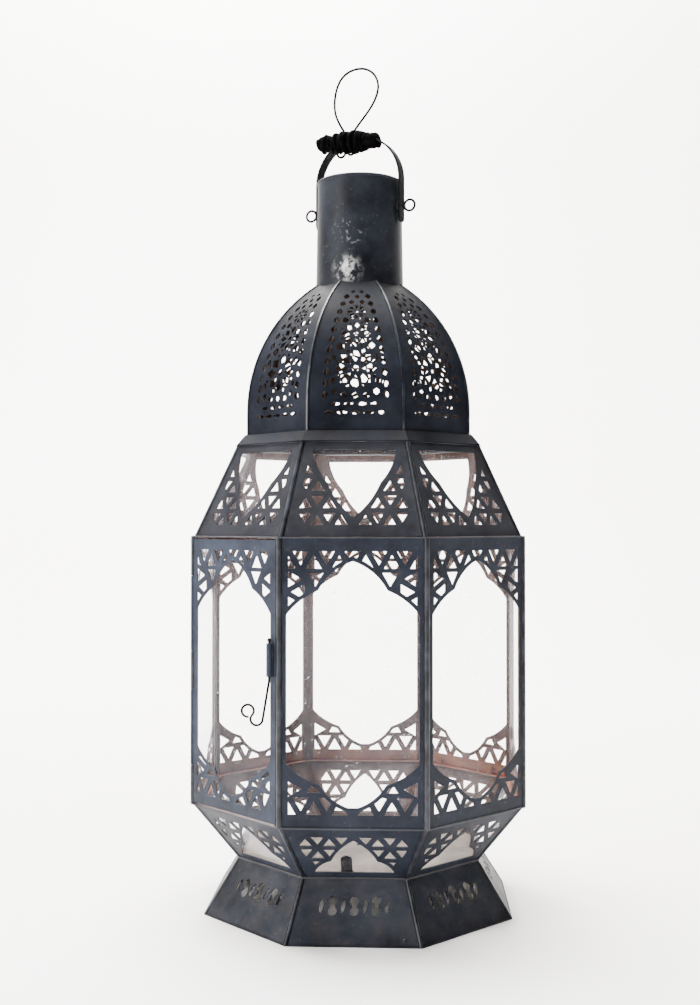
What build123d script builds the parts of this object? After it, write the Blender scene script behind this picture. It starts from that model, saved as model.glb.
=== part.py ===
"""Octagonal pierced-iron lantern with glass panes, a hinged door and a swinging bail, in millimetres.

Origin at the middle of the foot, +Z up. The front face looks along -Y, and faces and corners are
counted anticlockwise seen from above. Face 8, left of the front, is the door.
"""
from build123d import *
import math
import os

# Driving dimensions. Radii are measured to the corners of the octagon.
SIDES = 8
TURN = 360 / SIDES
HALF_TURN = TURN / 2
FLAT = math.cos(math.radians(HALF_TURN))
CORNER = math.sin(math.radians(HALF_TURN))

SHEET = 0.8
GLASS = 2.0
BODY_R = 140.0
WAIST_R = 102.0
FOOT_R = 130.0
LOWER_TOP_R = 137.5
SHOULDER_R = 137.0
NECK_R = 103.3
DOME_R = 95.0
RING_R = 141.0

FOOT_RIM_TOP = 0.8
BASE_LOW, BASE_HIGH = 1.3, 42.0
FLOOR_TOP = 43.0
LOWER_HIGH = 86.5
BELT_LOW, BELT_TOP = 87.0, 88.0
TOP_RING_LOW, TOP_RING_TOP = 296.0, 297.0
SHOULDER_LOW, SHOULDER_HIGH = 297.4, 367.9
DOME_RING_LOW, DOME_RING_TOP = 368.0, 369.0
CORNICE_TOP = 377.0

HIP_MARGIN = 2.4
POST_MARGIN = 2.75
HIP_INSET = 0.8
LEG = 5.5
POST_BEAD = 2.0
HIP_BEAD = 1.7

# Dome: upright to SPRING, then one arc to the chimney.
SPRING = 395.0
DOME_ARC = 130.0
DOME_TOP = 501.0
SEAM = 1.4

CHIMNEY_LOW_R, CHIMNEY_TOP_R = 36.0, 34.5
CHIMNEY_LOW, CHIMNEY_TOP = 497.0, 586.5

# Bail, turned so that its ends stand over the second and sixth corners.
BAIL_AXIS_Z = 565.0
BAIL_IN = 36.5
STRAP = 1.5
STRAP_WIDTH = 10.0
BAIL_END_Z = 552.0
CROWN_Z = 588.0
SHANK = 1.0
RUNNING = 0.06

# Door: it stands proud of its posts' legs, on a rod along the corner at its left.
DOOR_PROUD = 0.4
DOOR_GAP = 1.4
HINGE_BORE = 1.05
ROD = 1.0
LATCH_U = 46.5
LATCH_OUT = 2.6
LATCH_LOW, LATCH_HIGH = 196.0, 220.0

os.makedirs("parts", exist_ok=True)


def save(piece, name):
    """Label a finished piece and write its file."""
    piece.part.label = name
    export_step(piece.part, f"parts/{name}.step")


def turned(front, number):
    """The front piece, copied to the face or corner of that number."""
    with BuildPart() as piece:
        add(front, rotation=(0, 0, TURN * (number - 1)))
    return piece


def turned_set(front, numbers):
    """Several copies of the front piece in one node, as separate solids."""
    with BuildPart() as pieces:
        for number in numbers:
            add(front, rotation=(0, 0, TURN * (number - 1)))
    return pieces


ALL = range(1, SIDES + 1)


# ---------------------------------------------------------------- flat faces and their holes

class Face:
    """The flat front face between two octagons: x across, y up the slope, z outwards."""

    def __init__(self, low_r, low_z, high_r, high_z):
        self.low_half = low_r * CORNER
        self.high_half = high_r * CORNER
        self.lean = (low_r - high_r) * FLAT
        self.rise = high_z - low_z
        self.height = math.hypot(self.lean, self.rise)
        self.origin = (0, -low_r * FLAT, low_z)
        self.hip_slope = (self.low_half - self.high_half) / self.height

    def plane(self, depth=0.0):
        """The face's plane, moved inwards by depth."""
        surface = Plane(origin=self.origin, x_dir=(1, 0, 0), z_dir=(0, -self.rise, self.lean))
        return surface.offset(-depth)

    def half(self, y, margin):
        """Half the width at height y, less a margin square to the hip."""
        return self.low_half - self.hip_slope * y - margin * math.hypot(1, self.hip_slope)

    def outline(self, margin, low=0.0, high=0.0):
        """Corners of the face less its side margin and what is left off its low and high edges."""
        top = self.height - high
        low_half, high_half = self.half(low, margin), self.half(top, margin)
        return [(-low_half, low), (low_half, low), (high_half, top), (-high_half, top)]


def triangle(x, y, side, turn):
    """Equilateral hole about its centre, its point turned anticlockwise from straight up."""
    reach = side / math.sqrt(3)
    corners = []
    for step in range(3):
        angle = math.radians(90 + turn + 120 * step)
        corners.append((x + reach * math.cos(angle), y + reach * math.sin(angle)))
    Polygon(*corners, align=None)


def kept(sketch, least):
    """The holes left after trimming that are large enough to punch."""
    return [hole for hole in sketch.faces() if hole.area > least]


# ---------------------------------------------------------------- hips, posts and flat rings

def section_plane(low_r, low_z, high_r, high_z):
    """Plane square to the first corner's hip: x along the tangent, y outwards, z up the hip."""
    out = Vector(CORNER, -FLAT, 0)
    along = out * (high_r - low_r) + Vector(0, 0, high_z - low_z)
    return Plane(origin=out * low_r + Vector(0, 0, low_z), x_dir=(-FLAT, -CORNER, 0), z_dir=along)


def leg_angle(low_r, low_z, high_r, high_z):
    """Angle in radians between a face and the tangent, in the section square to the hip."""
    lean = math.atan2((low_r - high_r) * FLAT, high_z - low_z)
    return math.asin(CORNER * math.cos(lean))


def angle_strip(beta, leg):
    """Folded strip behind the edges of both faces, in the section plane."""
    def at(along, depth, side):
        x = along * math.cos(beta) - depth * math.sin(beta)
        y = -along * math.sin(beta) - depth * math.cos(beta)
        return (side * x, y)
    near, far = SHEET, 2 * SHEET
    points = [at(leg, near, 1), at(near * math.tan(beta), near, 1), at(leg, near, -1),
              at(leg, far, -1), at(far * math.tan(beta), far, 1), at(leg, far, 1)]
    Polygon(*points, align=None)


def hip(low_r, low_z, high_r, high_z, bead, floor, ceiling):
    """Bead and folded strip along the first corner, cut level at floor and ceiling."""
    plane = section_plane(low_r, low_z, high_r, high_z)
    length = math.hypot(low_r - high_r, high_z - low_z)
    spare = 8.0
    with BuildPart() as strip:
        with BuildSketch(plane.offset(-spare)):
            angle_strip(leg_angle(low_r, low_z, high_r, high_z), LEG)
            with Locations((0, -HIP_INSET)):
                Circle(bead)
        extrude(amount=length + 2 * spare)
        with Locations((0, 0, floor)):
            Box(400, 400, ceiling - floor, align=(Align.CENTER, Align.CENTER, Align.MIN), mode=Mode.INTERSECT)
    return strip.part


def octagon_ring(low_z, high_z, outer_r, inner_r):
    """Flat octagonal ring with flat faces front and back."""
    with BuildPart() as ring:
        with BuildSketch(Plane.XY.offset(low_z)):
            RegularPolygon(outer_r, SIDES, rotation=HALF_TURN)
            RegularPolygon(inner_r, SIDES, rotation=HALF_TURN, mode=Mode.SUBTRACT)
        extrude(amount=high_z - low_z)
    return ring


# ---------------------------------------------------------------- foot, base and floor

def base_panel(face, with_hole):
    """Skirt panel with three hourglass slots between four leaning slits."""
    slot_y = 28.0
    pitch = 16.2
    with BuildPart() as panel:
        with BuildSketch(face.plane()):
            Polygon(*face.outline(HIP_MARGIN - 0.4), align=None)
            for place in range(-1, 2):
                for end in (-1, 1):
                    with Locations((place * pitch, slot_y + end * 3.7)):
                        Circle(3.3, mode=Mode.SUBTRACT)
                with Locations((place * pitch, slot_y)):
                    Rectangle(4.0, 7.4, mode=Mode.SUBTRACT)
            for place in (-1.5, -0.5, 0.5, 1.5):
                with Locations(Location((place * pitch, slot_y, 0), (0, 0, -10))):
                    Ellipse(1.5, 4.9, mode=Mode.SUBTRACT)
            if with_hole:
                with Locations((36.5, 4.0)):
                    Circle(1.5, mode=Mode.SUBTRACT)
        extrude(amount=-SHEET)
    return panel.part


base = Face(FOOT_R - 0.9, BASE_LOW, WAIST_R + 0.1, BASE_HIGH)
foot_rim = octagon_ring(0, FOOT_RIM_TOP, FOOT_R + 0.2, FOOT_R - 7)
save(foot_rim, "foot_rim")

plain_panel = base_panel(base, False)
with BuildPart() as base_panels:
    add(base_panel(base, True))
    for number in range(2, SIDES + 1):
        add(plain_panel, rotation=(0, 0, TURN * (number - 1)))
save(base_panels, "base_panels")

base_hip = hip(FOOT_R - 0.9, BASE_LOW, WAIST_R + 0.1, BASE_HIGH, 1.4, FOOT_RIM_TOP, BASE_HIGH)
save(turned_set(base_hip, ALL), "base_ribs")

floor_plate = octagon_ring(BASE_HIGH, FLOOR_TOP, WAIST_R + 0.8, 3.0)
save(floor_plate, "floor_plate")


# ---------------------------------------------------------------- tapered frames above and below

def taper_window(half, base_y, cusp, tip_y, band=0.0):
    """Lobed arch on a flat sill, with a cusp at each side and a pointed tip, grown by a band."""
    tipwards = 1 if tip_y > base_y else -1
    foot = (half + 1.6 * band, base_y)
    shoulder = (cusp[0] + 0.8 * band, cusp[1] + 0.8 * band * tipwards)
    tip = (0, tip_y + 1.3 * band * tipwards)
    bulge = -2.2 * tipwards
    with BuildSketch() as window:
        with BuildLine():
            Line((0, base_y), foot)
            SagittaArc(foot, shoulder, bulge)
            SagittaArc(shoulder, tip, bulge)
            mirror(about=Plane.YZ)
        make_face()
    return window.sketch


def lattice(face, wide_y, inward, banded_window, rows):
    """Rows of alternate triangles from the wide edge towards the window, trimmed to the field."""
    pitch, side, first, row_height = 17.6, 9.6, 13.9, 13.8
    side_band = 8.2
    with BuildSketch() as holes:
        for row in range(rows):
            middle = wide_y + inward * (first + row_height * row)
            for step in range(-5, 6):
                towards = (step + row) % 2 == 1
                turn = 0 if towards == (inward > 0) else 180
                offset = -inward * 2.2 if towards else inward * 2.2
                triangle(step * pitch / 2, middle + offset, side, turn)
        Polygon(*face.outline(side_band), align=None, mode=Mode.INTERSECT)
        add(banded_window, mode=Mode.SUBTRACT)
    return kept(holes.sketch, 9.0)


def pierced_frame(face, margin, window, holes):
    """Pierced sheet, inwards from the face."""
    with BuildPart() as frame:
        with BuildSketch(face.plane()):
            Polygon(*face.outline(margin), align=None)
            add(window, mode=Mode.SUBTRACT)
            add(holes, mode=Mode.SUBTRACT)
        extrude(amount=-SHEET)
    return frame.part


def pane(face, depth, margin, low, high):
    """Flat glass pane behind a face."""
    with BuildPart() as glass:
        with BuildSketch(face.plane(depth)):
            Polygon(*face.outline(margin, low, high), align=None)
        extrude(amount=-GLASS)
    return glass.part


def pane_tabs(face, start, depth, low, high, spread):
    """Four bent tabs from the frame's back at start, over the pane's low and high edges."""
    width, thickness, lip = 7.0, 0.5, 5.0
    back = depth + GLASS
    with BuildPart() as tabs:
        for y, into in ((low - 0.1, 1), (face.height - high + 0.1, -1)):
            for side in (-1, 1):
                with BuildSketch(face.plane(start)):
                    with Locations((side * spread, y - into * thickness / 2)):
                        Rectangle(width, thickness)
                extrude(amount=-(back - start))
                with BuildSketch(face.plane(back)):
                    with Locations((side * spread, y - into * thickness + into * lip / 2)):
                        Rectangle(width, lip)
                extrude(amount=-thickness)
    return tabs.part


PANE_DEPTH = 2 * SHEET
BAND = 2.6
lower = Face(WAIST_R, FLOOR_TOP, LOWER_TOP_R, LOWER_HIGH)
lower_shape = (29.5, 6.0, (17.0, lower.height - 35.5), lower.height - 12.0)
lower_window = taper_window(*lower_shape)
lower_holes = lattice(lower, lower.height, -1, taper_window(*lower_shape, band=BAND), 3)
lower_front = pierced_frame(lower, HIP_MARGIN, lower_window, lower_holes)
for number in ALL:
    save(turned(lower_front, number), f"lower_frame_{number}")

lower_hip = hip(WAIST_R, FLOOR_TOP, LOWER_TOP_R, LOWER_HIGH, HIP_BEAD, FLOOR_TOP, BELT_LOW)
save(turned_set(lower_hip, ALL), "lower_ribs")
save(turned_set(pane(lower, PANE_DEPTH, 4.2, 1.6, 4.0), ALL), "lower_glass")

with BuildPart() as glass_clip:
    clip_depth = PANE_DEPTH + GLASS
    clip_width, clip_rise, clip_x = 8.5, 15.8, -6.0
    with BuildSketch(lower.plane(clip_depth)):
        with Locations((clip_x, clip_rise)):
            Circle(clip_width / 2)
            Rectangle(clip_width, clip_rise + 5.0, align=(Align.CENTER, Align.MAX))
    extrude(amount=-SHEET)
    with Locations((clip_x, -WAIST_R * FLAT + 5.0, FLOOR_TOP)):
        Box(clip_width, 11.0, SHEET, align=(Align.CENTER, Align.MIN, Align.MIN))
    with Locations((0, 0, FLOOR_TOP)):
        Box(400, 400, 60, align=(Align.CENTER, Align.CENTER, Align.MIN), mode=Mode.INTERSECT)
save(glass_clip, "glass_clip")

belt_ring = octagon_ring(BELT_LOW, BELT_TOP, RING_R, RING_R - 9)
save(belt_ring, "belt_ring")


# ---------------------------------------------------------------- body frames, posts and door

BODY_HEIGHT = TOP_RING_LOW - BELT_TOP
WINDOW_HALF = 48.0


def body_window(half, centre, band=0.0):
    """Tall window with a lobed pointed head and a lobed V foot, grown by a band."""
    wide = half / WINDOW_HALF
    tip = (3.5 + 0.4 * band, 14.5 - band)
    low_cusp = (24.0 + 0.7 * band, 31.0 - 0.9 * band)
    low_spring = (48.0 + band, 46.0 - 0.6 * band)
    high_spring = (48.0 + band, 153.0 + 0.6 * band)
    high_cusp = (25.0 + 0.7 * band, 170.5 + 0.9 * band)
    high_tip = (0.0, 191.5 + 1.3 * band)

    def scaled(point):
        return (point[0] * wide, point[1])

    with BuildSketch() as window:
        with BuildLine():
            Line((0, tip[1]), scaled(tip))
            SagittaArc(scaled(tip), scaled(low_cusp), -2.4)
            SagittaArc(scaled(low_cusp), scaled(low_spring), -2.0)
            Line(scaled(low_spring), scaled(high_spring))
            SagittaArc(scaled(high_spring), scaled(high_cusp), -2.0)
            SagittaArc(scaled(high_cusp), scaled(high_tip), -3.2)
            mirror(about=Plane.YZ)
        make_face()
    return Pos(centre, 0) * window.sketch


def spandrel_holes(banded_window, left, right):
    """Triangles in the four spandrels: a row along each end, a column up each side, one between."""
    pitch, side = 18.8, 11.4
    row_low, row_high, swing = 15.7, 192.4, 2.9
    with BuildSketch() as holes:
        for step in range(-5, 6):
            up = step % 2 == 1
            across = step * pitch / 2
            triangle(across, row_low - swing if up else row_low + swing, side, 0 if up else 180)
            triangle(across, row_high - swing if up else row_high + swing, side, 0 if up else 180)
        for mirrored in (-1, 1):
            for step in range(3):
                inward = step % 2 == 0
                x = 43.3 if inward else 37.9
                turn = 90 * mirrored if inward else -90 * mirrored
                triangle(mirrored * x, 27.9 + 9.2 * step, side, turn)
                triangle(mirrored * x, 178.6 - 9.2 * step, side, turn)
            triangle(mirrored * 27.4, 28.6, side, 0)
            triangle(mirrored * 27.0, 179.8, side, 180)
        with BuildSketch(mode=Mode.INTERSECT):
            with Locations(((left + right) / 2, BODY_HEIGHT / 2)):
                Rectangle(right - left, BODY_HEIGHT - 18.6)
        add(banded_window, mode=Mode.SUBTRACT)
    return kept(holes.sketch, 14.0)


body = Face(BODY_R, BELT_TOP, BODY_R, TOP_RING_LOW)
side_window = body_window(WINDOW_HALF, 0)
side_holes = spandrel_holes(body_window(WINDOW_HALF, 0, BAND), -46.6, 46.6)
side_front = pierced_frame(body, POST_MARGIN, side_window, side_holes)
for number in range(1, SIDES):
    save(turned(side_front, number), f"side_frame_{number}")

PANE_U = 50.4
side_pane = pane(body, PANE_DEPTH, body.low_half - PANE_U, 3.0, 3.0)
save(turned_set(side_pane, range(1, SIDES)), "side_glass")
side_tabs = pane_tabs(body, SHEET, PANE_DEPTH, 3.0, 3.0, 30.0)
save(turned_set(side_tabs, range(1, SIDES)), "glass_tabs")

post = hip(BODY_R, BELT_TOP, BODY_R, TOP_RING_LOW, POST_BEAD, BELT_TOP, TOP_RING_LOW)
HINGE_CORNER = SIDES - 1
save(turned_set(post, [1, 2, 3, 4, 5, 6, 8]), "corner_posts")

# Hinge: post and door knuckles take turns along one rod, KNUCKLE_GAP apart.
KNUCKLE_GAP = 0.4
POST_KNUCKLES = [(BELT_TOP, 118.0), (177.0, 207.0), (266.0, TOP_RING_LOW)]
DOOR_KNUCKLES = [(118.0 + KNUCKLE_GAP, 177.0 - KNUCKLE_GAP), (207.0 + KNUCKLE_GAP, 266.0 - KNUCKLE_GAP)]
HINGE_RADIUS = BODY_R - HIP_INSET


def leg_only(beta, leg, start):
    """The two legs of the folded strip without their fold."""
    with BuildSketch() as legs:
        angle_strip(beta, leg)
        with Locations((0, -HIP_INSET)):
            Circle(start, mode=Mode.SUBTRACT)
    return legs.sketch


with BuildPart() as hinge_post:
    hinge_beta = math.radians(HALF_TURN)
    section = section_plane(BODY_R, BELT_TOP, BODY_R, TOP_RING_LOW)
    with BuildSketch(section):
        add(leg_only(hinge_beta, LEG, POST_BEAD + 0.35))
    extrude(amount=BODY_HEIGHT)
    for low, high in POST_KNUCKLES:
        with BuildSketch(section.offset(low - BELT_TOP)):
            angle_strip(hinge_beta, LEG)
            with Locations((0, -HIP_INSET)):
                Circle(POST_BEAD)
                Circle(HINGE_BORE, mode=Mode.SUBTRACT)
        extrude(amount=high - low)
save(turned(hinge_post.part, HINGE_CORNER), "hinge_post")

with BuildPart() as rod:
    with BuildSketch(section_plane(BODY_R, BELT_TOP + 0.3, BODY_R, TOP_RING_LOW)):
        with Locations((0, -HIP_INSET)):
            Circle(ROD)
    extrude(amount=BODY_HEIGHT - 0.6)
save(turned(rod.part, HINGE_CORNER), "hinge_rod")

# The door is drawn on the front face and then turned to its place.
DOOR = SIDES
hinge_x, hinge_y = -HINGE_RADIUS * CORNER, -HINGE_RADIUS * FLAT
DOOR_LEFT, DOOR_RIGHT = -body.low_half + POST_MARGIN, 50.7
door_half, door_centre = 45.25, -0.75
door_face = body.plane(-DOOR_PROUD)
door_window = body_window(door_half, door_centre)
door_holes = spandrel_holes(body_window(door_half, door_centre, BAND), -46.6, 43.8)

with BuildPart() as door_front:
    with BuildSketch(door_face):
        with Locations(((DOOR_LEFT + DOOR_RIGHT) / 2, BODY_HEIGHT / 2)):
            Rectangle(DOOR_RIGHT - DOOR_LEFT, BODY_HEIGHT - 2 * DOOR_GAP)
        for low, high in DOOR_KNUCKLES:
            with Locations(((DOOR_LEFT + hinge_x + 1.5) / 2, (low + high) / 2 - BELT_TOP)):
                Rectangle(DOOR_LEFT - hinge_x - 1.4, high - low)
        add(door_window, mode=Mode.SUBTRACT)
        add(door_holes, mode=Mode.SUBTRACT)
    extrude(amount=-SHEET)
    for low, high in DOOR_KNUCKLES:
        with BuildSketch(Plane.XY.offset(low)):
            with Locations((hinge_x, hinge_y)):
                Circle(POST_BEAD)
        extrude(amount=high - low)
        with BuildSketch(Plane.XY.offset(low)):
            with Locations((hinge_x, hinge_y)):
                Circle(HINGE_BORE)
        extrude(amount=high - low, mode=Mode.SUBTRACT)
save(turned(door_front.part, DOOR), "door_frame")

door_depth = SHEET - DOOR_PROUD
with BuildPart() as door_pane:
    with BuildSketch(body.plane(door_depth)):
        with Locations((-0.4, BODY_HEIGHT / 2)):
            Rectangle(93.8, BODY_HEIGHT - 8)
    extrude(amount=-GLASS)
save(turned(door_pane.part, DOOR), "door_glass")
door_tabs = pane_tabs(body, door_depth, door_depth, 4.0, 4.0, 30.0)
save(turned(door_tabs, DOOR), "door_glass_tabs")

# Latch: a bent wire turning in a rolled barrel on the door's free edge.
WIRE = 0.9
latch_x, latch_y = LATCH_U, -(BODY_R * FLAT + DOOR_PROUD + LATCH_OUT)
with BuildPart() as barrel:
    with BuildSketch(Plane.XY.offset(LATCH_LOW)):
        with Locations((latch_x, latch_y)):
            Circle(2.2)
        with Locations((latch_x, latch_y + LATCH_OUT - 0.6)):
            Rectangle(5.4, 1.2)
        with Locations((latch_x, latch_y)):
            Circle(WIRE + RUNNING, mode=Mode.SUBTRACT)
    extrude(amount=LATCH_HIGH - LATCH_LOW)
save(turned(barrel.part, DOOR), "latch_barrel")

slant = math.sqrt(0.5)
latch_plane = Plane(origin=(latch_x, latch_y, 0), x_dir=(-slant, -slant, 0), z_dir=(-slant, slant, 0))
with BuildPart() as latch:
    with BuildLine(latch_plane) as latch_path:
        straight = Line((0, LATCH_HIGH + 2.5), (0, LATCH_LOW - 2.0))
        bend = JernArc(start=straight @ 1, tangent=straight % 1, radius=14, arc_size=9.5)
        lean = PolarLine(bend @ 1, 27.5, direction=bend % 1)
        curl = JernArc(start=lean @ 1, tangent=lean % 1, radius=4.4, arc_size=214)
        ring = JernArc(start=curl @ 1, tangent=curl % 1, radius=4.4, arc_size=-322)
    with BuildSketch(Plane(origin=latch_path.line @ 0, z_dir=latch_path.line % 0)):
        Circle(WIRE)
    sweep()
    with Locations((latch_x, latch_y, LATCH_HIGH + 2.5)):
        Sphere(1.5)
save(turned(latch.part, DOOR), "latch_wire")


# ---------------------------------------------------------------- shoulder

save(octagon_ring(TOP_RING_LOW, TOP_RING_TOP, RING_R, RING_R - 9), "top_ring")

shoulder = Face(SHOULDER_R, SHOULDER_LOW, NECK_R, SHOULDER_HIGH)
shoulder_shape = (31.0, shoulder.height - 6.5, (19.5, 43.0), 15.0)
shoulder_window = taper_window(*shoulder_shape)
shoulder_holes = lattice(shoulder, 0.0, 1, taper_window(*shoulder_shape, band=BAND), 4)
shoulder_front = pierced_frame(shoulder, HIP_MARGIN, shoulder_window, shoulder_holes)
for number in ALL:
    save(turned(shoulder_front, number), f"shoulder_frame_{number}")

shoulder_hip = hip(SHOULDER_R, SHOULDER_LOW, NECK_R, SHOULDER_HIGH, HIP_BEAD, TOP_RING_TOP, DOME_RING_LOW)
save(turned_set(shoulder_hip, ALL), "shoulder_ribs")
shoulder_pane = pane(shoulder, PANE_DEPTH, 4.2, 4.0, 3.0)
save(turned_set(shoulder_pane, ALL), "shoulder_glass")

save(octagon_ring(DOME_RING_LOW, DOME_RING_TOP, NECK_R + 1.3, 85.0), "dome_ring")

with BuildPart() as dome_cornice:
    for grow, mode in ((0.0, Mode.ADD), (-0.9, Mode.SUBTRACT)):
        with BuildSketch(Plane.XY.offset(DOME_RING_TOP)):
            RegularPolygon(NECK_R + 1.0 + grow, SIDES, rotation=HALF_TURN)
        with BuildSketch(Plane.XY.offset(CORNICE_TOP)):
            RegularPolygon(DOME_R + 2.4 + grow, SIDES, rotation=HALF_TURN)
        loft(mode=mode)
save(dome_cornice, "dome_cornice")


# ---------------------------------------------------------------- dome

DOME_FLAT = DOME_R * FLAT
ARC_CENTRE = DOME_ARC - DOME_FLAT
UPRIGHT = SPRING - DOME_RING_TOP
CHIMNEY_FIT = CHIMNEY_LOW_R + 0.05
PUNCH = 3.0


def gore_plane(height):
    """Plane on the front gore at that height up its curve: x across, z outwards."""
    if height <= UPRIGHT:
        return Plane(origin=(0, -DOME_FLAT, DOME_RING_TOP + height), x_dir=(1, 0, 0), z_dir=(0, -1, 0))
    angle = (height - UPRIGHT) / DOME_ARC
    y, z = ARC_CENTRE - DOME_ARC * math.cos(angle), SPRING + DOME_ARC * math.sin(angle)
    return Plane(origin=(0, y, z), x_dir=(1, 0, 0), z_dir=(0, -math.cos(angle), math.sin(angle)))


def gore_half(height):
    """Half the gore's width at that height up its curve."""
    return -gore_plane(height).origin.Y * math.tan(math.radians(HALF_TURN))


def leaf(width, height):
    """Six-sided chisel cut, longer than wide."""
    Polygon((0, height / 2), (width / 2, height / 6), (width / 2, -height / 6), (0, -height / 2),
            (-width / 2, -height / 6), (-width / 2, height / 6), align=None)


def rosette(reach):
    """Eight kites around a small octagonal hole, with a small diamond between their points."""
    widest = 0.72 * reach
    side = 0.29 * reach - 0.6
    RegularPolygon(0.17 * reach, SIDES)
    with PolarLocations(0, SIDES):
        Polygon((0.32 * reach, 0), (widest, side), (reach, 0), (widest, -side), align=None)
    with PolarLocations(0.97 * reach, SIDES, start_angle=HALF_TURN):
        Polygon((0.13 * reach, 0), (0, 0.1 * reach), (-0.13 * reach, 0), (0, -0.1 * reach), align=None)


def punch_row(height, places, width, depth, lean=0.0):
    """Chisel cuts through the gore at one height; lean tips them towards the middle."""
    with BuildSketch(gore_plane(height)) as cuts:
        for place in places:
            tip = 0 if place == 0 else math.copysign(lean, place)
            with Locations(Location((place, 0, 0), (0, 0, tip))):
                leaf(width, depth)
    extrude(cuts.sketch, amount=PUNCH, both=True)


with BuildPart() as punches:
    punch_row(21.5, [-20, -10, 0, 10, 20], 7.4, 3.0)
    punch_row(28.0, [-15, -5, 5, 15], 6.4, 3.0)
    punch_row(34.6, [-8.5, 0, 8.5], 4.6, 4.8)
    for step in range(11):
        up = 35.0 + 9.0 * step
        across = gore_half(up) - 13.2
        punch_row(up, [-across, across], 4.2, 6.9, 14.0)
    for up, across, width, depth in ((37.5, 16.0, 4.4, 5.6), (46.0, 17.2, 3.8, 6.0), (65.0, 16.4, 3.4, 6.0),
                                     (74.0, 11.8, 6.2, 7.6), (98.0, 8.2, 4.8, 6.6), (117.8, 4.2, 3.8, 5.4)):
        punch_row(up, [-across, across], width, depth)
    punch_row(124.4, [0], 3.4, 5.2)
    punch_row(131.2, [-3.4, 3.4], 2.8, 4.6, 20.0)
    for up, reach in ((55.5, 16.0), (85.0, 11.5), (107.0, 7.6)):
        with BuildSketch(gore_plane(up)):
            rosette(reach)
        extrude(amount=PUNCH, both=True)

with BuildPart() as gore:
    top_angle = math.degrees(math.asin((DOME_TOP - SPRING) / DOME_ARC))
    with BuildSketch(Plane.YZ):
        with BuildLine():
            outside = CenterArc((ARC_CENTRE, SPRING), DOME_ARC, 180 - top_angle, top_angle)
            inside = CenterArc((ARC_CENTRE, SPRING), DOME_ARC - SHEET, 180 - top_angle, top_angle)
            Line(outside @ 0, inside @ 0)
            Polyline(outside @ 1, (-DOME_FLAT, DOME_RING_TOP), (-DOME_FLAT + SHEET, DOME_RING_TOP), inside @ 1)
        make_face()
    extrude(amount=DOME_R / 2, both=True)
    add(punches.part, mode=Mode.SUBTRACT)
    seam_room = (SEAM / 2 + 0.06) / CORNER
    reach = 1.2 * DOME_R
    spread = reach * math.tan(math.radians(HALF_TURN))
    with BuildSketch(Plane.XY.offset(DOME_RING_TOP)):
        Polygon((0, -seam_room), (-spread, -seam_room - reach), (spread, -seam_room - reach), align=None)
    extrude(amount=DOME_TOP, mode=Mode.INTERSECT)
    with Locations((0, 0, DOME_TOP)):
        Cylinder(CHIMNEY_FIT, 80, mode=Mode.SUBTRACT)
for number in ALL:
    save(turned(gore.part, number), f"dome_gore_{number}")

with BuildPart() as seam:
    radial = Plane(origin=(0, 0, 0), x_dir=(CORNER, -FLAT, 0), z_dir=(-FLAT, -CORNER, 0))
    fin_in, fin_out = 1.4, 0.8
    hip_centre = -ARC_CENTRE / FLAT
    with BuildSketch(radial):
        with Locations((hip_centre, SPRING)):
            Ellipse(DOME_ARC / FLAT + fin_out, DOME_ARC + fin_out)
            Ellipse(DOME_ARC / FLAT - fin_in, DOME_ARC - fin_in, mode=Mode.SUBTRACT)
        with Locations((DOME_R, SPRING)):
            Rectangle(2 * DOME_R - 40, DOME_TOP - SPRING, align=(Align.CENTER, Align.MIN), mode=Mode.INTERSECT)
        with Locations((DOME_R + (fin_out - fin_in) / 2, DOME_RING_TOP)):
            Rectangle(fin_in + fin_out, UPRIGHT, align=(Align.CENTER, Align.MIN))
    extrude(amount=SEAM / 2, both=True)
    with Locations((0, 0, DOME_TOP)):
        Cylinder(CHIMNEY_FIT, 80, mode=Mode.SUBTRACT)
save(turned_set(seam.part, ALL), "dome_seams")


# ---------------------------------------------------------------- chimney, bail and hanging wire

HANDLE_TURN = HALF_TURN + TURN
sway = Vector(math.sin(math.radians(HANDLE_TURN)), -math.cos(math.radians(HANDLE_TURN)), 0)
bail_normal = sway.cross(Vector(0, 0, 1))
bail_plane = Plane(origin=(0, 0, 0), x_dir=sway, z_dir=bail_normal)

with BuildPart() as chimney:
    with BuildSketch(Plane.XZ):
        Polygon((CHIMNEY_LOW_R - SHEET, CHIMNEY_LOW), (CHIMNEY_LOW_R, CHIMNEY_LOW),
                (CHIMNEY_TOP_R, CHIMNEY_TOP), (CHIMNEY_TOP_R - SHEET, CHIMNEY_TOP), align=None)
        with Locations((CHIMNEY_TOP_R - SHEET / 2, CHIMNEY_TOP)):
            Circle(1.1)
    revolve(axis=Axis.Z)
    with BuildSketch(Plane(origin=sway * -60 + Vector(0, 0, BAIL_AXIS_Z), z_dir=sway)):
        Circle(SHANK + RUNNING)
    extrude(amount=120, mode=Mode.SUBTRACT)
save(chimney, "chimney")


def wire_ring(x, z, radius, wire):
    """Closed ring of round wire lying in the bail's plane."""
    centre = sway * x + Vector(0, 0, z)
    with BuildSketch(Plane(origin=centre + sway * radius, x_dir=sway, z_dir=(0, 0, 1))) as section:
        Circle(wire)
    revolve(section.sketch, axis=Axis(centre, bail_normal))


RING = 4.5
EYE_START, EYE_RING = 31.6, 44.6
with BuildPart() as bail_eyes:
    for side in (-1, 1):
        head_plane = Plane(origin=sway * side * EYE_START + Vector(0, 0, BAIL_AXIS_Z), z_dir=sway * side)
        with BuildSketch(head_plane):
            Circle(2.3)
        extrude(amount=1.1)
        with BuildSketch(head_plane):
            Circle(SHANK)
        extrude(amount=EYE_RING - RING - EYE_START)
        wire_ring(side * EYE_RING, BAIL_AXIS_Z, RING, SHANK)
save(bail_eyes, "bail_eyes")

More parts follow.
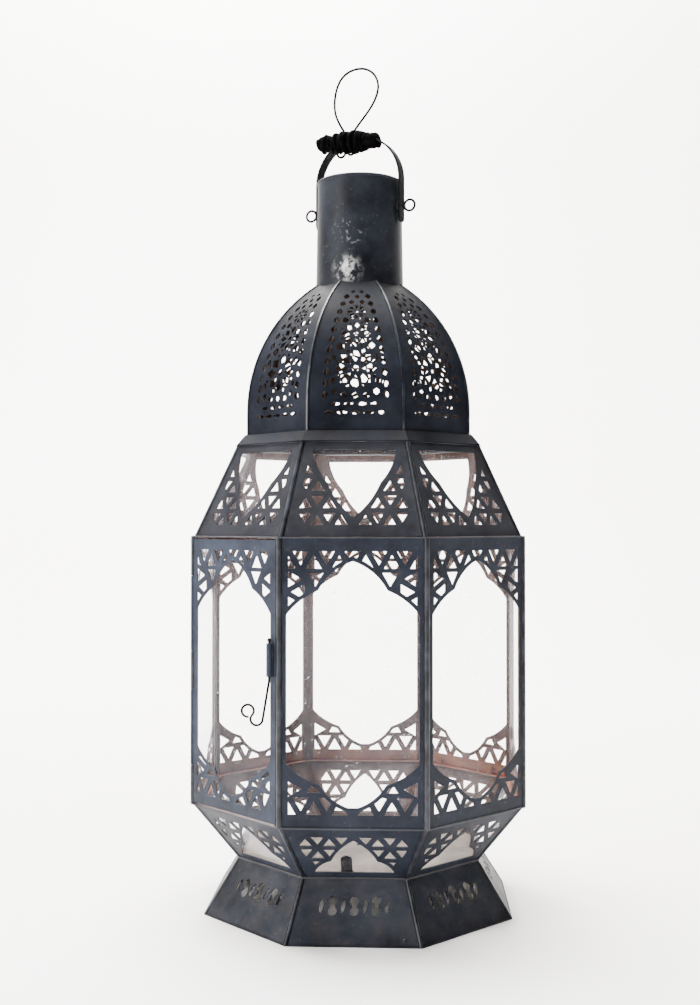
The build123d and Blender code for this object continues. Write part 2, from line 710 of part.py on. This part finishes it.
with BuildPart() as bail_handle:
    with BuildSketch(bail_plane):
        with BuildLine():
            crown_out = CenterArc((0, CROWN_Z), BAIL_IN + STRAP, 0, 180)
            crown_in = CenterArc((0, CROWN_Z), BAIL_IN, 0, 180)
            Polyline(crown_out @ 0, (BAIL_IN + STRAP, BAIL_END_Z), (BAIL_IN, BAIL_END_Z), crown_in @ 0)
            Polyline(crown_out @ 1, (-BAIL_IN - STRAP, BAIL_END_Z), (-BAIL_IN, BAIL_END_Z), crown_in @ 1)
        make_face()
    extrude(amount=STRAP_WIDTH / 2, both=True)
    ends = bail_handle.edges().filter_by(lambda edge: edge.center().Z < BAIL_END_Z + 0.1)
    fillet(ends.filter_by(lambda edge: abs(edge.length - STRAP) < 0.01), radius=4.0)
    with BuildSketch(Plane(origin=sway * -60 + Vector(0, 0, BAIL_AXIS_Z), z_dir=sway)):
        Circle(SHANK + RUNNING)
    extrude(amount=120, mode=Mode.SUBTRACT)
save(bail_handle, "bail_handle")

# Grip: a lumpy straight bundle of wound wire along the crown, pushed towards one side.
grip_left = sway * -39 + Vector(0, 0, 624.5)
grip_along = sway * 17.5 + Vector(0, 0, 621.5) - grip_left
grip_length = grip_along.length
with BuildPart() as grip_wrap:
    with BuildSketch(Plane(origin=grip_left, x_dir=grip_along, z_dir=bail_normal)):
        with BuildLine():
            lumps = Spline((0, 0), (2.5, 5.4), (10, 6.6), (17, 6.3), (24, 7.6), (31, 7.0), (38, 7.8), (45, 6.4),
                           (52, 6.2), (grip_length - 0.8, 4.0), (grip_length, 0))
            Line(lumps @ 1, lumps @ 0)
        make_face()
    revolve(axis=Axis(grip_left, grip_along))
    add(bail_handle.part, mode=Mode.SUBTRACT)
save(grip_wrap, "grip_wrap")

# Hanging wire: an oval loop out of the grip's top, and two small rings under the grip.
LOOP_WIRE = 1.0
with BuildPart() as hanging_loop:
    with BuildLine(bail_plane) as loop_path:
        Spline((-11.5, 628), (-14.5, 633), (-21.4, 646), (-22.6, 662), (-15, 678.5), (-2.6, 683.1), (11, 678.5),
               (16.6, 668), (12.5, 653), (2, 640), (-7.5, 628))
    with BuildSketch(Plane(origin=loop_path.line @ 0, z_dir=loop_path.line % 0)):
        Circle(LOOP_WIRE)
    sweep()
    for eye_x, eye_z, eye_r in ((-16.8, 614.8, 3.5), (-7.9, 615.2, 2.8)):
        wire_ring(eye_x, eye_z, eye_r, LOOP_WIRE)
save(hanging_loop, "hanging_loop")
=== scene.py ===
import math
import random

import bpy
from mathutils import Matrix, Vector


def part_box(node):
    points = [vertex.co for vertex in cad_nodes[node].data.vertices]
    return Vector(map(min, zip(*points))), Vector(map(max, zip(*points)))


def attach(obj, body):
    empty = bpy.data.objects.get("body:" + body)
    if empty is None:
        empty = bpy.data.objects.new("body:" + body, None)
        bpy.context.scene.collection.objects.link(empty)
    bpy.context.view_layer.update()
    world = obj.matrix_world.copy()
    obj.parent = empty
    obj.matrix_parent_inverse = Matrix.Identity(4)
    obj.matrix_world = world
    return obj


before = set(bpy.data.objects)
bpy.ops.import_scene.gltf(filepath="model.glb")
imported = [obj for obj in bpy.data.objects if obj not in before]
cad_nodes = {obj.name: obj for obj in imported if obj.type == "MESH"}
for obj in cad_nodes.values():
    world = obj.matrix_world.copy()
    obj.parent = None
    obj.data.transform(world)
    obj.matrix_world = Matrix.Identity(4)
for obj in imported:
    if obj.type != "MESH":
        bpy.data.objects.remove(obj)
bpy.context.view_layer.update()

faces = range(1, 9)

# ---------------------------------------------------------------- foot
# The foot is eight flared panels of blackened sheet iron, soldered along their edges and standing
# on a flat rim. The black is worn and mottled outside and dusty where it faces up. Inside it is bare
# tin, its colour painted pale to stand in for the light that reaches into the hollow foot.


def start_material(name, metallic, roughness, gloss=0.5):
    """An empty material with its shader, ready for its colours."""
    material = bpy.data.materials.new(name)
    material.use_nodes = True
    tree = material.node_tree
    shader = tree.nodes["Principled BSDF"]
    shader.inputs["Metallic"].default_value = metallic
    shader.inputs["Roughness"].default_value = roughness
    shader.inputs["Specular IOR Level"].default_value = gloss
    return material, tree, shader


def mottle(tree, scale, detail, stretch=(1, 1, 1)):
    """Cloudy pattern fixed to the piece, as a number from 0 to 1."""
    place = tree.nodes.new("ShaderNodeTexCoord")
    turn = tree.nodes.new("ShaderNodeMapping")
    turn.inputs["Scale"].default_value = stretch
    cloud = tree.nodes.new("ShaderNodeTexNoise")
    cloud.inputs["Scale"].default_value = scale
    cloud.inputs["Detail"].default_value = detail
    cloud.inputs["Roughness"].default_value = 0.62
    tree.links.new(place.outputs["Object"], turn.inputs["Vector"])
    tree.links.new(turn.outputs["Vector"], cloud.inputs["Vector"])
    return cloud.outputs[0]


def graded(tree, source, stops):
    """Colours or greys laid along a pattern, from pairs of place and colour."""
    ramp = tree.nodes.new("ShaderNodeValToRGB")
    marks = ramp.color_ramp.elements
    while len(marks) < len(stops):
        marks.new(0.5)
    for mark, (place, colour) in zip(marks, stops):
        mark.position = place
        mark.color = (*colour, 1.0) if hasattr(colour, "__len__") else (colour, colour, colour, 1.0)
    tree.links.new(source, ramp.inputs["Fac"])
    return ramp.outputs["Color"]


def blended(tree, amount, under, over):
    """One colour over another, by a mask."""
    mix = tree.nodes.new("ShaderNodeMix")
    mix.data_type = "RGBA"
    tree.links.new(amount, mix.inputs[0])
    for colour, socket in ((under, mix.inputs[6]), (over, mix.inputs[7])):
        if hasattr(colour, "is_linked"):
            tree.links.new(colour, socket)
        else:
            socket.default_value = (*colour, 1.0)
    return mix.outputs[2]


def times(tree, first, second):
    """Two masks multiplied."""
    product = tree.nodes.new("ShaderNodeMath")
    product.operation = "MULTIPLY"
    tree.links.new(first, product.inputs[0])
    tree.links.new(second, product.inputs[1])
    return product.outputs[0]


def inward(tree):
    """Mask of the surfaces that face the lantern's axis."""
    place = tree.nodes.new("ShaderNodeTexCoord")
    flat = tree.nodes.new("ShaderNodeVectorMath")
    flat.operation = "MULTIPLY"
    flat.inputs[1].default_value = (1, 1, 0)
    toward = tree.nodes.new("ShaderNodeVectorMath")
    toward.operation = "DOT_PRODUCT"
    tree.links.new(place.outputs["Object"], flat.inputs[0])
    tree.links.new(flat.outputs["Vector"], toward.inputs[0])
    tree.links.new(place.outputs["Normal"], toward.inputs[1])
    shifted = tree.nodes.new("ShaderNodeMath")
    shifted.operation = "ADD"
    shifted.inputs[1].default_value = 0.5
    tree.links.new(toward.outputs["Value"], shifted.inputs[0])
    return graded(tree, shifted.outputs[0], [(0.485, 1.0), (0.498, 0.0)])


def upward(tree, start, full):
    """Mask of the surfaces that face up, where dust settles."""
    place = tree.nodes.new("ShaderNodeTexCoord")
    parts = tree.nodes.new("ShaderNodeSeparateXYZ")
    tree.links.new(place.outputs["Normal"], parts.inputs[0])
    return graded(tree, parts.outputs["Z"], [(start, 0.0), (full, 1.0)])


def dented(tree, shader, source, strength, depth):
    """Small dents and ripples in the surface."""
    bump = tree.nodes.new("ShaderNodeBump")
    bump.inputs["Strength"].default_value = strength
    bump.inputs["Distance"].default_value = depth
    tree.links.new(source, bump.inputs["Height"])
    tree.links.new(bump.outputs["Normal"], shader.inputs["Normal"])


def sheet_iron(name, dark, light, dust, dust_amount, inner, gloss=0.09):
    """Blackened sheet: mottled outside, dust on the upper ones, its inner faces rusty, or bare and painted pale
    as light.
    """
    material, tree, shader = start_material(name, 0.0, 0.5, gloss)
    clouds = mottle(tree, 26, 6)
    grain = mottle(tree, 310, 2)
    outside = graded(tree, clouds, [(0.32, dark), (0.62, light)])
    speckled = blended(tree, graded(tree, grain, [(0.64, 0.0), (0.78, 0.22)]), outside, dust)
    bare = graded(tree, mottle(tree, 60, 5), [(0.3, inner[0]), (0.7, inner[1])])
    sided = blended(tree, inward(tree), speckled, bare)
    settled = graded(tree, mottle(tree, 48, 5), [(0.34, 0.15 * dust_amount), (0.66, dust_amount)])
    dusty = blended(tree, times(tree, upward(tree, 0.25, 0.85), settled), sided, dust)
    tree.links.new(dusty, shader.inputs["Base Color"])
    tree.links.new(graded(tree, clouds, [(0.3, 0.42), (0.7, 0.62)]), shader.inputs["Roughness"])
    dented(tree, shader, mottle(tree, 38, 3), 0.35, 0.0012)
    return material


def dress(material, *names):
    """Give CAD nodes their finish."""
    for name in names:
        mesh = cad_nodes[name].data
        mesh.materials.clear()
        mesh.materials.append(material)


wall_dust = (0.13, 0.115, 0.10)
# The pale inner colours of the foot are painted light: bare tin lightened to stand in for light reaching the
# hollow foot.
foot_iron = sheet_iron("foot_iron", (0.0048, 0.0061, 0.0105), (0.015, 0.0187, 0.0285), wall_dust, 0.3,
                       [(0.40, 0.37, 0.31), (0.66, 0.63, 0.55)])
dress(foot_iron, "foot_rim", "base_panels")

# ---------------------------------------------------------------- solder beads
# Each edge between two sheets is covered by a round bead of solder over a folded strip inside,
# painted black with the sheets. The dome's standing seams have the same finish.
bead_black, tree, shader = start_material("bead_black", 0.08, 0.40, 0.25)
worn = graded(tree, mottle(tree, 55, 5), [(0.42, (0.0060, 0.0070, 0.0100)), (0.68, (0.028, 0.032, 0.042))])
rusty = blended(tree, inward(tree), worn, (0.045, 0.021, 0.013))
tree.links.new(rusty, shader.inputs["Base Color"])
dented(tree, shader, mottle(tree, 240, 3, (1, 1, 0.35)), 0.5, 0.0007)
dress(bead_black, "base_ribs", "lower_ribs", "shoulder_ribs", "corner_posts", "hinge_post", "dome_seams")

# ---------------------------------------------------------------- floor plate
# The candle stands on a flat plate of bare sheet across the waist, stained by wax, soot and rust.
floor_bare, tree, shader = start_material("floor_bare", 0.15, 0.62)
stains = graded(tree, mottle(tree, 30, 7),
                [(0.34, (0.030, 0.017, 0.009)), (0.50, (0.105, 0.077, 0.047)), (0.66, (0.20, 0.158, 0.108))])
soot = graded(tree, mottle(tree, 11, 4), [(0.52, 0.0), (0.72, 0.7)])
topside = blended(tree, soot, stains, (0.09, 0.07, 0.06))
underside = (0.010, 0.011, 0.015)
tree.links.new(blended(tree, upward(tree, 0.3, 0.6), underside, topside), shader.inputs["Base Color"])
dented(tree, shader, mottle(tree, 90, 4), 0.3, 0.0008)
dress(floor_bare, "floor_plate")

# ---------------------------------------------------------------- lower taper, belt and body
# Frames of sheet iron pierced with chisel-cut triangles round a lobed window lean out to the belt,
# then stand upright to the top ring. The belt and ring are flat bands the frames are soldered to.
rust = [(0.020, 0.010, 0.007), (0.085, 0.040, 0.024)]
body_iron = sheet_iron("body_iron", (0.0050, 0.0063, 0.0105), (0.015, 0.0184, 0.0275), wall_dust, 0.4, rust)
tree = body_iron.node_tree
shader = tree.nodes["Principled BSDF"]
walls = shader.inputs["Base Color"].links[0].from_socket
height = tree.nodes.new("ShaderNodeSeparateXYZ")
tree.links.new(tree.nodes.new("ShaderNodeTexCoord").outputs["Object"], height.inputs[0])
belt_height = 0.087
rail_full, rail_end = 0.0965, 0.101
low_rail = times(tree, inward(tree), graded(tree, height.outputs["Z"], [(rail_full, 1.0), (rail_end, 0.0)]))
belt_edge = graded(tree, height.outputs["Z"], [(belt_height - 0.0002, 0.0), (belt_height + 0.0002, 1.0)])
above_belt = times(tree, low_rail, belt_edge)
orange = graded(tree, mottle(tree, 45, 6), [(0.3, (0.075, 0.022, 0.010)), (0.7, (0.23, 0.078, 0.034))])
tree.links.new(blended(tree, above_belt, walls, orange), shader.inputs["Base Color"])
dress(body_iron, "glass_tabs")
dress(body_iron, *[f"lower_frame_{number}" for number in faces])
dress(body_iron, *[f"side_frame_{number}" for number in faces if number != 8])

# The belt and the top ring are the same sheet, their inner ledges red with rust.
ledge_iron, tree, shader = start_material("ledge_iron", 0.15, 0.6)
outer_edge = graded(tree, mottle(tree, 26, 6),
                    [(0.32, (0.0070, 0.0085, 0.0130)), (0.62, (0.020, 0.023, 0.033))])
red_rust = graded(tree, mottle(tree, 45, 6), [(0.3, (0.13, 0.035, 0.014)), (0.7, (0.34, 0.105, 0.042))])


def within_walls(reach):
    """Mask of what lies inside an upright octagon of that reach from the axis to its flats."""
    place = tree.nodes.new("ShaderNodeTexCoord")
    size = tree.nodes.new("ShaderNodeVectorMath")
    size.operation = "ABSOLUTE"
    parts = tree.nodes.new("ShaderNodeSeparateXYZ")
    tree.links.new(place.outputs["Object"], size.inputs[0])
    tree.links.new(size.outputs["Vector"], parts.inputs[0])
    slanted = tree.nodes.new("ShaderNodeVectorMath")
    slanted.operation = "DOT_PRODUCT"
    slanted.inputs[1].default_value = (math.sqrt(0.5), math.sqrt(0.5), 0)
    tree.links.new(size.outputs["Vector"], slanted.inputs[0])
    farthest = parts.outputs["X"]
    for other in (parts.outputs["Y"], slanted.outputs["Value"]):
        larger = tree.nodes.new("ShaderNodeMath")
        larger.operation = "MAXIMUM"
        tree.links.new(farthest, larger.inputs[0])
        tree.links.new(other, larger.inputs[1])
        farthest = larger.outputs[0]
    return graded(tree, farthest, [(reach - 0.0005, 1.0), (reach, 0.0)])


wall_reach = 0.1287
inner_ledge = times(tree, upward(tree, 0.3, 0.6), within_walls(wall_reach))
tree.links.new(blended(tree, inner_ledge, outer_edge, red_rust), shader.inputs["Base Color"])
dress(ledge_iron, "belt_ring", "top_ring")

# ---------------------------------------------------------------- panes
# Clear window glass lies behind every pierced frame, held by bent tabs. It is a little hazy, with
# a lavender cast and specks of dirt, and mirrors the light at a slant.
pane_glass, tree, shader = start_material("pane_glass", 0.0, 0.04)
haze = graded(tree, mottle(tree, 9, 4), [(0.35, 0.018), (0.75, 0.05)])
specks = graded(tree, mottle(tree, 420, 1), [(0.735, 0.0), (0.765, 0.55)])
layered = tree.nodes.new("ShaderNodeMath")
layered.operation = "MAXIMUM"
tree.links.new(haze, layered.inputs[0])
tree.links.new(specks, layered.inputs[1])
slant = tree.nodes.new("ShaderNodeLayerWeight")
slant.inputs["Blend"].default_value = 0.06
veil = tree.nodes.new("ShaderNodeMath")
veil.operation = "MAXIMUM"
tree.links.new(layered.outputs[0], veil.inputs[0])
glint = tree.nodes.new("ShaderNodeMath")
glint.operation = "MULTIPLY"
glint.inputs[1].default_value = 0.3
tree.links.new(slant.outputs["Fresnel"], glint.inputs[0])
tree.links.new(glint.outputs[0], veil.inputs[1])
shader.inputs["Base Color"].default_value = (0.66, 0.64, 0.72, 1.0)
tree.links.new(veil.outputs[0], shader.inputs["Alpha"])
dress(pane_glass, "lower_glass", "side_glass", "shoulder_glass", "door_glass")

# ---------------------------------------------------------------- door and latch
# The face left of the front is a door of the same pierced sheet, turning on a rod in rolled
# knuckles. A thin wire with a curled end turns in a small barrel on its free edge.
# The door is the same sheet as the body, with lighter colours as painted light from the key lamp at the left.
door_iron_painted_lit = sheet_iron("door_iron_painted_lit", (0.0080, 0.0105, 0.0180), (0.025, 0.031, 0.047), wall_dust, 0.3, rust)
dress(door_iron_painted_lit, "door_frame", "door_glass_tabs", "latch_barrel")
wire_black, tree, shader = start_material("wire_black", 0.0, 0.7, 0.0)
wire_tone = graded(tree, mottle(tree, 160, 3), [(0.4, (0.004, 0.004, 0.005)), (0.7, (0.016, 0.0155, 0.016))])
tree.links.new(wire_tone, shader.inputs["Base Color"])
dress(wire_black, "glass_clip", "hinge_rod", "latch_wire", "hanging_loop", "bail_eyes")

# ---------------------------------------------------------------- shoulder
# The shoulder leans in from the top ring to the dome's ring, pierced like the lower taper, and is
# the dustiest of the walls because it faces the sky.
shoulder_iron = sheet_iron("shoulder_iron", (0.0060, 0.0068, 0.0100), (0.017, 0.019, 0.025),
                           (0.070, 0.058, 0.047), 0.35, rust, 0.06)
dress(shoulder_iron, *[f"shoulder_frame_{number}" for number in faces])

# ---------------------------------------------------------------- dome and cornice
# Eight gores of sheet cut with flower and leaf openings bend up to the chimney above a moulded
# cornice. The sheet is sooty black with brown dust on its ledges and round the top.
roof_iron = sheet_iron("roof_iron", (0.0038, 0.0045, 0.0072), (0.011, 0.013, 0.019),
                       (0.034, 0.030, 0.024), 0.3, [(0.012, 0.010, 0.009), (0.040, 0.026, 0.019)], 0.03)
dress(roof_iron, "dome_ring", "dome_cornice", *[f"dome_gore_{number}" for number in faces])

# ---------------------------------------------------------------- chimney
# The chimney is one rolled sheet with a hemmed top. Its foot is scuffed to bare pale metal at the
# front, where the solder has been scraped.
chimney_iron = sheet_iron("chimney_iron", (0.0034, 0.0040, 0.0058), (0.0140, 0.0164, 0.0225),
                          (0.13, 0.12, 0.11), 0.4, rust, 0.08)
tree = chimney_iron.node_tree
shader = tree.nodes["Principled BSDF"]
chimney_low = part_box("chimney")[0]
bare_metal = (0.62, 0.62, 0.63)


def patch(centre, reach):
    """Mask that is full at a point and gone at reach."""
    place = tree.nodes.new("ShaderNodeTexCoord")
    away = tree.nodes.new("ShaderNodeVectorMath")
    away.operation = "DISTANCE"
    away.inputs[1].default_value = centre
    tree.links.new(place.outputs["Object"], away.inputs[0])
    return graded(tree, away.outputs["Value"], [(0.2 * reach, 1.0), (reach, 0.0)])


scraped = graded(tree, mottle(tree, 170, 6, (1, 1, 0.7)), [(0.46, 0.0), (0.60, 1.0)])
front_foot = (-0.009, chimney_low.y + 0.001, chimney_low.z + 0.013)
higher_rub = (-0.008, chimney_low.y + 0.001, chimney_low.z + 0.043)
rubbed = graded(tree, mottle(tree, 300, 5), [(0.56, 0.0), (0.70, 0.22)])
scuffs = tree.nodes.new("ShaderNodeMath")
scuffs.operation = "MAXIMUM"
tree.links.new(times(tree, patch(front_foot, 0.0125), scraped), scuffs.inputs[0])
tree.links.new(times(tree, patch(higher_rub, 0.017), rubbed), scuffs.inputs[1])
sheet_colour = shader.inputs["Base Color"].links[0].from_socket
tree.links.new(blended(tree, scuffs.outputs[0], sheet_colour, bare_metal), shader.inputs["Base Color"])
dress(chimney_iron, "chimney")

# Where each eye ring meets the chimney there is a flattened lump of solder.
solder_grey, tree, shader = start_material("solder_grey", 0.2, 0.5, 0.25)
tree.links.new(graded(tree, mottle(tree, 190, 4), [(0.4, (0.012, 0.012, 0.015)), (0.7, (0.05, 0.05, 0.054))]),
               shader.inputs["Base Color"])
bail_turn = math.radians(22.5)
sway = Vector((math.cos(bail_turn), -math.sin(bail_turn), 0))
chimney_wall = 0.0348
pivot_height = 0.565
lump_radius = 0.0042
for side, label in ((-1, "left"), (1, "right")):
    bpy.ops.object.select_all(action="DESELECT")
    spot = side * chimney_wall * sway + Vector((0, 0, pivot_height))
    bpy.ops.mesh.primitive_ico_sphere_add(subdivisions=3, radius=lump_radius, location=spot)
    lump = bpy.context.object
    lump.name = f"eye_solder_{label}"
    bpy.ops.object.transform_apply(location=True, rotation=False, scale=False)
    bpy.ops.object.mode_set(mode="EDIT")
    bpy.ops.mesh.select_all(action="SELECT")
    bpy.ops.transform.resize(value=(0.45, 1.0, 1.15), center_override=spot)
    bpy.ops.transform.rotate(value=bail_turn, orient_axis="Z", center_override=spot)
    bpy.ops.object.mode_set(mode="OBJECT")
    bpy.ops.object.shade_smooth()
    lump.data.materials.append(solder_grey)
    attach(lump, "lantern")

# ---------------------------------------------------------------- bail and grip
# The bail is a flat strap bent over the chimney. A black winding, thick and uneven, is wrapped
# round its crown for a grip, over a plain core.
strap_black, tree, shader = start_material("strap_black", 0.0, 0.7, 0.02)
strap_tone = graded(tree, mottle(tree, 70, 5), [(0.36, (0.0035, 0.0038, 0.005)), (0.7, (0.013, 0.0135, 0.016))])
tree.links.new(strap_tone, shader.inputs["Base Color"])
dress(strap_black, "bail_handle")
winding_black, tree, shader = start_material("winding_black", 0.0, 0.85, 0.01)
winding_tone = graded(tree, mottle(tree, 130, 4),
                      [(0.4, (0.0007, 0.0007, 0.0009)), (0.72, (0.0030, 0.0029, 0.0030))])
tree.links.new(winding_tone, shader.inputs["Base Color"])
dress(winding_black, "grip_wrap")

left_end = -0.039 * sway + Vector((0, 0, 0.6245))
right_end = 0.0175 * sway + Vector((0, 0, 0.6215))
across = Vector((math.sin(bail_turn), math.cos(bail_turn), 0))
along = (right_end - left_end).normalized()
outwards = along.cross(across)
core_radii = (0.0046, 0.0060, 0.0066, 0.0064, 0.0074, 0.0072, 0.0076, 0.0068, 0.0064, 0.0060, 0.0046)
turn_count = 19
loosest = 0.30
end_gap = 0.03
bpy.ops.object.select_all(action="DESELECT")
bpy.ops.mesh.primitive_torus_add(major_radius=1.0, minor_radius=0.25, major_segments=32, minor_segments=10)
turn = bpy.context.object
bpy.ops.object.shade_smooth()
draw = random.Random(4)
turns = []
for count in range(turn_count):
    way = count / (turn_count - 1)
    spot = way * (len(core_radii) - 1)
    step = min(int(spot), len(core_radii) - 2)
    core = core_radii[step] + (spot - step) * (core_radii[step + 1] - core_radii[step])
    radius = core + draw.uniform(-0.0011, 0.0007)
    tipped = Matrix.Rotation(draw.uniform(-loosest, loosest), 4, "X")
    lean = tipped @ Matrix.Rotation(draw.uniform(-loosest, loosest), 4, "Y")
    place = Matrix.Identity(4)
    for column, axis in enumerate((across, outwards, along)):
        for row in range(3):
            place[row][column] = axis[row]
    place.translation = left_end.lerp(right_end, end_gap + (1 - 2 * end_gap) * way)
    one = turn.copy()
    one.data = turn.data.copy()
    one.data.transform(place @ lean @ Matrix.Scale(radius, 4))
    bpy.context.collection.objects.link(one)
    turns.append(one)
bpy.data.objects.remove(turn)
bpy.ops.object.select_all(action="DESELECT")
for one in turns:
    one.select_set(True)
bpy.context.view_layer.objects.active = turns[0]
bpy.ops.object.join()
winding = bpy.context.object
winding.name = "grip_winding"
winding.data.materials.append(winding_black)
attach(winding, "bail")

# ---------------------------------------------------------------- setting
# A pale cove with soft light: a key lamp at the left, a weak fill in front, a strong wash on the
# wall behind and a glow from above.
bpy.ops.object.select_all(action="DESELECT")
cove_middle = (0, -2.0, 0)
floor_back = 2
bpy.ops.mesh.primitive_plane_add(size=1, location=cove_middle)
cove = bpy.context.object
cove.name = "cove"
bpy.ops.object.mode_set(mode="EDIT")
bpy.ops.mesh.select_all(action="SELECT")
bpy.ops.transform.resize(value=(14, 9, 1), center_override=cove_middle)
bpy.ops.object.mode_set(mode="OBJECT")
bpy.ops.object.transform_apply(location=True, rotation=False, scale=False)
for edge in cove.data.edges:
    edge.select = all(cove.data.vertices[end].co.y > floor_back for end in edge.vertices)
for face in cove.data.polygons:
    face.select = False
for corner in cove.data.vertices:
    corner.select = corner.co.y > floor_back
bpy.ops.object.mode_set(mode="EDIT")
bpy.ops.mesh.select_mode(type="EDGE")
bpy.ops.mesh.extrude_region_move(TRANSFORM_OT_translate={"value": (0, 0, 6)})
bpy.ops.object.mode_set(mode="OBJECT")
for edge in cove.data.edges:
    ends = [cove.data.vertices[end].co for end in edge.vertices]
    edge.select = all(abs(end.z) < 0.01 and end.y > floor_back for end in ends)
bpy.ops.object.mode_set(mode="EDIT")
bpy.ops.mesh.bevel(offset=1.4, segments=16)
bpy.ops.object.mode_set(mode="OBJECT")
bpy.ops.object.shade_smooth()
cove_pale, tree, shader = start_material("cove_pale", 0.0, 0.85)
tree.links.new(graded(tree, mottle(tree, 0.9, 2), [(0.3, (0.86, 0.83, 0.80)), (0.7, (0.90, 0.89, 0.88))]),
               shader.inputs["Base Color"])
cove.data.materials.append(cove_pale)


def lamp(name, location, target, size, power, colour):
    """A soft square lamp turned towards its target."""
    light = bpy.data.lights.new(name, "AREA")
    light.shape = "SQUARE"
    light.size = size
    light.energy = power
    light.color = colour
    holder = bpy.data.objects.new(name, light)
    bpy.context.collection.objects.link(holder)
    holder.location = location
    holder.rotation_euler = (Vector(target) - Vector(location)).to_track_quat("-Z", "Y").to_euler()
    return holder


key = lamp("key", (-2.0, -1.25, 1.0), (0, 0, 0.35), 0.8, 115, (1.0, 0.985, 0.96))
fill = lamp("fill", (-0.9, -2.5, 1.5), (0, 0, 0.3), 1.2, 7, (0.90, 0.95, 1.0))
wash = lamp("wash", (-0.4, 0.9, 3.4), (0.0, 2.6, 0.5), 2.4, 950, (1.0, 0.985, 0.97))
glow = lamp("glow", (-0.9, 1.5, 2.6), (-0.3, 0.9, 0.0), 2.2, 110, (1.0, 0.985, 0.97))

world = bpy.data.worlds.new("studio")
bpy.context.scene.world = world
world.use_nodes = True
sky = world.node_tree.nodes["Background"]
sky.inputs["Color"].default_value = (1.0, 0.985, 0.97, 1.0)
sky.inputs["Strength"].default_value = 0.07

eye = bpy.data.objects.new("eye", bpy.data.cameras.new("eye"))
bpy.context.collection.objects.link(eye)
eye.location = (0.0393, -1.0219, 0.3081)
eye.rotation_euler = (math.radians(90.88), 0, math.radians(2.65))
eye.data.sensor_width = 36
eye.data.lens = 44.47
eye.data.clip_start = 0.01
bpy.context.scene.camera = eye
